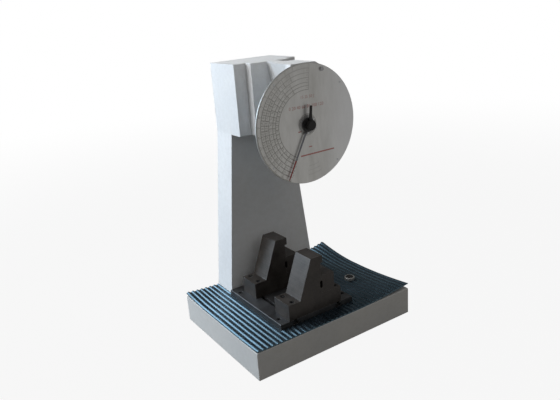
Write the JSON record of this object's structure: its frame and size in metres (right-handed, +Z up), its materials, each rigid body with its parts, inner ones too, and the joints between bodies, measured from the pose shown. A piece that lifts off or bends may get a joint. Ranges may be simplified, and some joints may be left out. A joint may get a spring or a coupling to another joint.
{
  "type": "pendulum impact tester",
  "caption": "Bench pendulum impact tester: column on a flat base, round dial with pointer, shaft with pendulum carrier, and adjustable anvils on a plate.",
  "frame": {"origin": "centre of the base's underside, on the surface it stands on", "axes": "+Z up, +X to the right as one faces the dial, -Y towards the viewer: the dial faces -Y and the main shaft runs along Y"},
  "size_m": [0.5, 0.386, 0.718],
  "materials": {
    "white_paint": "semi-gloss",
    "anvil_steel": "blackened, ground",
    "rest_steel": "blackened, ground",
    "screw_steel": "black oxide",
    "bright_steel": "polished",
    "zinc_screws": "bright zinc",
    "machined_steel": "turned",
    "aluminium": "satin",
    "dial_print": "satin, printed",
    "black_enamel": "black enamel",
    "brass": "plain",
    "rubber": "ribbed",
    "level_liquid": "liquid",
    "clear_glass": "clear"
  },
  "bodies": {
    "frame": {"base": "white_paint", "column_housing": "white_paint", "rear_cover": "white_paint", "cover_screws": "zinc_screws", "column_bolts": "screw_steel", "dial_arm": "white_paint", "arm_screws": "screw_steel", "bearing_outer_rings": "bright_steel", "bearing_rollers": "bright_steel", "front_bearing_cap": "machined_steel", "head_bearing_cap": "machined_steel", "bearing_cap_screws": "screw_steel", "dial_backing": "aluminium", "dial_face": "dial_print", "dial_rivets": "zinc_screws", "pointer_bush": "aluminium", "pointer_bush_screws": "zinc_screws", "pointer_retaining_ring": "bright_steel", "anvil_plate": "anvil_steel", "anvil_plate_screws": "screw_steel", "plunger_bush": "brass", "release_spring": "bright_steel", "rubber_mat": "rubber", "level_body": "aluminium", "level_liquid": "level_liquid", "level_glass": "clear_glass"},
    "swing": {"main_shaft": "bright_steel", "dial_spindle": "bright_steel", "shaft_circlip": "bright_steel", "bearing_inner_rings": "bright_steel", "pendulum_carrier": "machined_steel", "carrier_key": "bright_steel", "carrier_set_screw": "screw_steel", "rod_clamp_screw": "screw_steel", "pointer_driver": "black_enamel", "driver_screw": "bright_steel", "front_cap": "black_enamel"},
    "pointer": {"pointer": "black_enamel", "friction_washer": "brass"},
    "front_anvil": {"front_anvil_block": "anvil_steel", "front_specimen_rest": "rest_steel", "front_rest_screws": "screw_steel", "front_clamp_screws": "screw_steel", "front_t_nuts": "screw_steel"},
    "rear_anvil": {"rear_anvil_block": "anvil_steel", "rear_specimen_rest": "rest_steel", "rear_rest_screws": "screw_steel", "rear_clamp_screws": "screw_steel", "rear_t_nuts": "screw_steel"},
    "release": {"release_plunger": "bright_steel", "release_knob": "machined_steel"}
  },
  "joints": [
    {"name": "shaft_swing", "type": "hinge", "parent": "frame", "child": "swing", "pos_m": [0, -0.036, 0.571], "axis": [0, 1, 0], "range_deg": [-160, 160]},
    {"name": "pointer_turn", "type": "hinge", "parent": "frame", "child": "pointer", "pos_m": [0, -0.1085, 0.571], "axis": [0, 1, 0], "range_deg": [0, 158]},
    {"name": "front_anvil_slide", "type": "slide", "parent": "frame", "child": "front_anvil", "axis": [0, 1, 0], "range_m": [0, 0.0275]},
    {"name": "rear_anvil_slide", "type": "slide", "parent": "frame", "child": "rear_anvil", "axis": [0, -1, 0], "range_m": [0, 0.0275]},
    {"name": "release_pull", "type": "slide", "parent": "frame", "child": "release", "axis": [0, -1, 0], "range_m": [0, 0.008], "stiffness_N_per_m": 300, "springref_m": -0.006, "deforming": ["release_spring"]}
  ]
}
